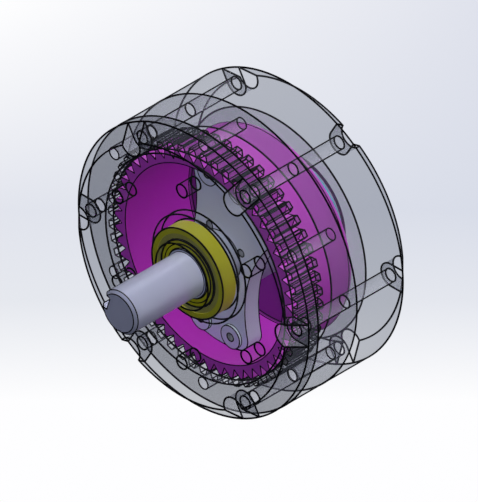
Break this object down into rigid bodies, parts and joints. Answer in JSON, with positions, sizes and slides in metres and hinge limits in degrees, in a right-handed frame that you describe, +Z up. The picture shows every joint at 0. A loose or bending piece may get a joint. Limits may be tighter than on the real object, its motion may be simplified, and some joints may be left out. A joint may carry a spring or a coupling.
{
  "type": "strain wave gear",
  "caption": "Strain wave gear: a clear round housing around a toothed ring, a thin toothed cup, a bow-tie wave generator with rollers and a keyed input shaft.",
  "frame": {"origin": "on the gear axis, in the plane of the front bolt seats, at the centre of the housing's bolt circle", "axes": "+Y along the gear axis towards the output, the input shaft points to -Y, +Z up, +X to the right"},
  "size_m": [0.12, 0.0954, 0.12],
  "materials": {
    "clear_housing": "clear smoked plastic, polished",
    "magenta_cup": "satin magenta",
    "shaft_steel": "fine turned, blue-grey",
    "plate_steel": "fine ground, blue-grey",
    "roller_steel": "ground",
    "olive_steel": "satin olive-yellow",
    "olive_seal": "matt olive",
    "teal_steel": "satin teal",
    "bearing_steel": "polished",
    "cage_brass": "stamped",
    "spring_steel": "phosphated",
    "hub_steel": "turned, blue-grey",
    "screw_steel": "black oxide"
  },
  "bodies": {
    "housing": {"front_cover": "clear_housing", "circular_spline": "clear_housing", "rear_housing": "clear_housing", "front_bearing_outer_ring": "olive_steel", "front_bearing_shields": "olive_seal", "rear_bearing_outer_ring": "teal_steel", "rear_bearing_shields": "teal_steel"},
    "input": {"input_shaft": "shaft_steel", "generator_plate": "plate_steel", "generator_dowels": "plate_steel", "roller_pins": "plate_steel", "front_bearing_inner_ring": "olive_steel", "shaft_circlip": "spring_steel", "pilot_bearing_inner_ring": "bearing_steel"},
    "output": {"output_hub": "hub_steel", "flexspline": "magenta_cup", "clamp_ring": "hub_steel", "clamp_screws": "screw_steel", "rear_bearing_inner_ring": "teal_steel", "pilot_bearing_outer_ring": "bearing_steel"},
    "front_rolling_set": {"front_bearing_cage": "cage_brass", "front_bearing_balls": "bearing_steel"},
    "rear_rolling_set": {"rear_bearing_cage": "cage_brass", "rear_bearing_balls": "bearing_steel"},
    "pilot_rolling_set": {"pilot_bearing_cage": "cage_brass", "pilot_bearing_balls": "bearing_steel"},
    "roller_1": {"generator_roller_1": "roller_steel"},
    "roller_2": {"generator_roller_2": "roller_steel"},
    "roller_3": {"generator_roller_3": "roller_steel"},
    "roller_4": {"generator_roller_4": "roller_steel"},
    "roller_5": {"generator_roller_5": "roller_steel"},
    "roller_6": {"generator_roller_6": "roller_steel"}
  },
  "joints": [
    {"name": "input_spin", "type": "hinge", "parent": "housing", "child": "input", "pos_m": [0, 0, 0], "axis": [0, 1, 0], "continuous": true},
    {"name": "output_spin", "type": "hinge", "parent": "housing", "child": "output", "pos_m": [0, 0.045, 0], "axis": [0, 1, 0], "continuous": true},
    {"name": "front_cage_spin", "type": "hinge", "parent": "housing", "child": "front_rolling_set", "pos_m": [0, 0, 0], "axis": [0, 1, 0], "continuous": true},
    {"name": "rear_cage_spin", "type": "hinge", "parent": "housing", "child": "rear_rolling_set", "pos_m": [0, 0.0464, 0], "axis": [0, 1, 0], "continuous": true},
    {"name": "pilot_cage_spin", "type": "hinge", "parent": "housing", "child": "pilot_rolling_set", "pos_m": [0, 0.0439, 0], "axis": [0, 1, 0], "continuous": true},
    {"name": "roller_1_spin", "type": "hinge", "parent": "input", "child": "roller_1", "pos_m": [0.02328, 0.01765, 0.02519], "axis": [0, 1, 0], "continuous": true},
    {"name": "roller_2_spin", "type": "hinge", "parent": "input", "child": "roller_2", "pos_m": [0.0096, 0.01765, 0.03293], "axis": [0, 1, 0], "continuous": true},
    {"name": "roller_3_spin", "type": "hinge", "parent": "input", "child": "roller_3", "pos_m": [-0.0061, 0.01765, 0.03375], "axis": [0, 1, 0], "continuous": true},
    {"name": "roller_4_spin", "type": "hinge", "parent": "input", "child": "roller_4", "pos_m": [-0.02328, 0.01765, -0.02519], "axis": [0, 1, 0], "continuous": true},
    {"name": "roller_5_spin", "type": "hinge", "parent": "input", "child": "roller_5", "pos_m": [-0.0096, 0.01765, -0.03293], "axis": [0, 1, 0], "continuous": true},
    {"name": "roller_6_spin", "type": "hinge", "parent": "input", "child": "roller_6", "pos_m": [0.0061, 0.01765, -0.03375], "axis": [0, 1, 0], "continuous": true}
  ],
  "couplings": [
    {"joint": "output_spin", "follows": "input_spin", "ratio": -0.04},
    {"joint": "front_cage_spin", "follows": "input_spin", "ratio": 0.4402},
    {"joint": "rear_cage_spin", "follows": "input_spin", "ratio": -0.0186},
    {"joint": "pilot_cage_spin", "follows": "input_spin", "ratio": 0.3825},
    {"joint": "roller_1_spin", "follows": "input_spin", "ratio": -6.56},
    {"joint": "roller_2_spin", "follows": "input_spin", "ratio": -6.56},
    {"joint": "roller_3_spin", "follows": "input_spin", "ratio": -6.56},
    {"joint": "roller_4_spin", "follows": "input_spin", "ratio": -6.56},
    {"joint": "roller_5_spin", "follows": "input_spin", "ratio": -6.56},
    {"joint": "roller_6_spin", "follows": "input_spin", "ratio": -6.56}
  ]
}
